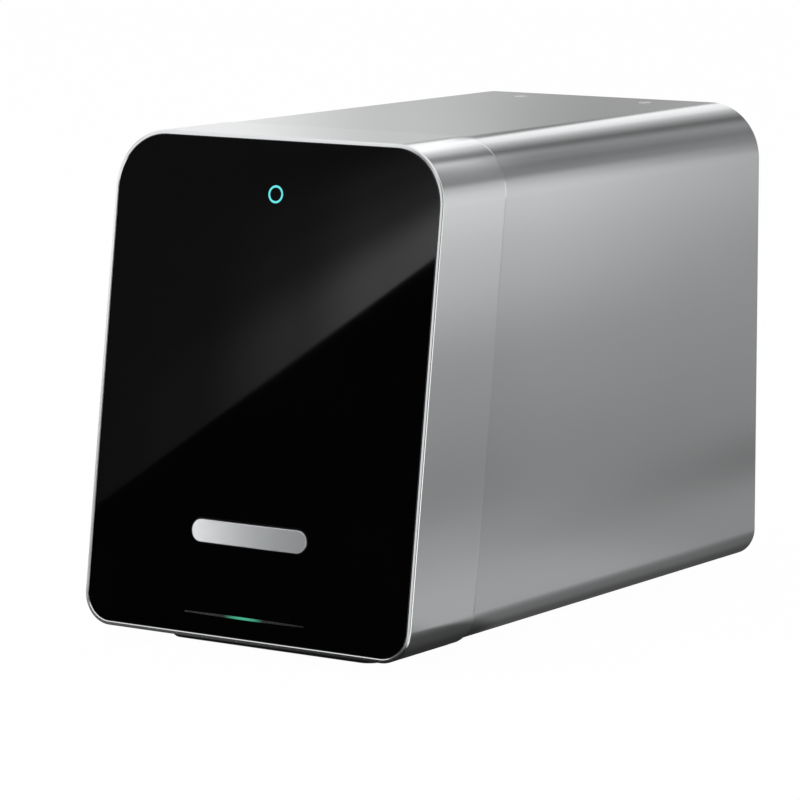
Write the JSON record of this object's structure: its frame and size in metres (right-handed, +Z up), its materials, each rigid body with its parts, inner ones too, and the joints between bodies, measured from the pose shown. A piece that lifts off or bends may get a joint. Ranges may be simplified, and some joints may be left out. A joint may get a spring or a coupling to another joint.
{
  "type": "phosphor plate scanner",
  "caption": "Desktop imaging plate scanner: leaning black glass front in an aluminium collar and sleeve, with a motor driven plate tray, touch ring and status light.",
  "frame": {"origin": "centre of the box's underside, on the surface that the feet stand on", "axes": "+Z up, -Y towards the user's side with the glass, +X to the right as seen from the front"},
  "size_m": [0.12, 0.205, 0.1545],
  "materials": {
    "satin_aluminium": "satin, fine bead blasted",
    "black_glass": "polished, backed in black",
    "ring_light": "translucent, lit cyan",
    "status_light": "smoked, lit green in the middle",
    "circuit_board": "green solder mask",
    "felt": "dense felt",
    "dark_plastic": "fine moulded texture",
    "gloss_black": "smooth moulded",
    "steel": "ground",
    "sheet_steel": "zinc plated",
    "bronze": "machined",
    "brass": "machined",
    "black_metal": "black, slightly rough",
    "optical_glass": "polished",
    "mirror": "front silvered",
    "detector_glass": "coated",
    "port_metal": "nickel plated",
    "rubber": "matt"
  },
  "bodies": {
    "housing": {"front_collar": "satin_aluminium", "glass_panel": "black_glass", "power_ring": "ring_light", "status_light": "status_light", "touch_board": "circuit_board", "light_board": "circuit_board", "slot_seal": "felt", "guide_rods": "steel", "front_rod_block": "satin_aluminium", "rear_rod_block": "satin_aluminium", "screw_bearings": "bronze", "drive_motor": "black_metal", "motor_bracket": "sheet_steel", "motor_screws": "steel", "chassis": "sheet_steel", "optics_deck": "black_metal", "deck_screws": "steel", "laser_module": "brass", "laser_clamp": "black_metal", "galvo_motor": "black_metal", "scan_lens": "optical_glass", "fold_mirror": "mirror", "mirror_cheeks": "black_metal", "detector_housing": "black_metal", "detector_tube": "detector_glass", "light_guide": "optical_glass", "erase_board": "circuit_board", "main_board": "circuit_board", "board_standoffs": "brass", "sleeve": "satin_aluminium", "top_screws": "steel", "rear_panel": "dark_plastic", "panel_screws": "steel", "power_inlet": "gloss_black", "data_port": "port_metal", "switch_body": "gloss_black", "front_foot": "rubber", "rear_foot": "rubber", "foot_screws": "steel"},
    "tray": {"tray_front": "satin_aluminium", "plate_tray": "dark_plastic", "tray_magnets": "port_metal", "tray_carriage": "dark_plastic", "tray_screws": "steel", "lead_nut": "bronze"},
    "drive_screw": {"lead_screw": "steel", "shaft_coupler": "satin_aluminium", "motor_shaft": "steel"},
    "scanner_mirror": {"galvo_mirror": "mirror"},
    "power_rocker": {"power_rocker": "gloss_black"}
  },
  "joints": [
    {"name": "tray_slide", "type": "slide", "parent": "housing", "child": "tray", "axis": [0, -1, 0], "range_m": [0, 0.07]},
    {"name": "screw_turn", "type": "hinge", "parent": "housing", "child": "drive_screw", "pos_m": [0, 0, 0.024], "axis": [0, -1, 0], "range_deg": [0, 2521]},
    {"name": "mirror_swing", "type": "hinge", "parent": "housing", "child": "scanner_mirror", "pos_m": [0, 0.0005, 0.0874], "axis": [0, 0, 1], "range_deg": [-10, 10]},
    {"name": "rocker_tip", "type": "hinge", "parent": "housing", "child": "power_rocker", "pos_m": [0.024, 0.0985, 0.0305], "axis": [1, 0, 0], "range_deg": [0, 14]}
  ],
  "couplings": [
    {"joint": "screw_turn", "follows": "tray_slide", "rad_per_m": 628.32}
  ]
}
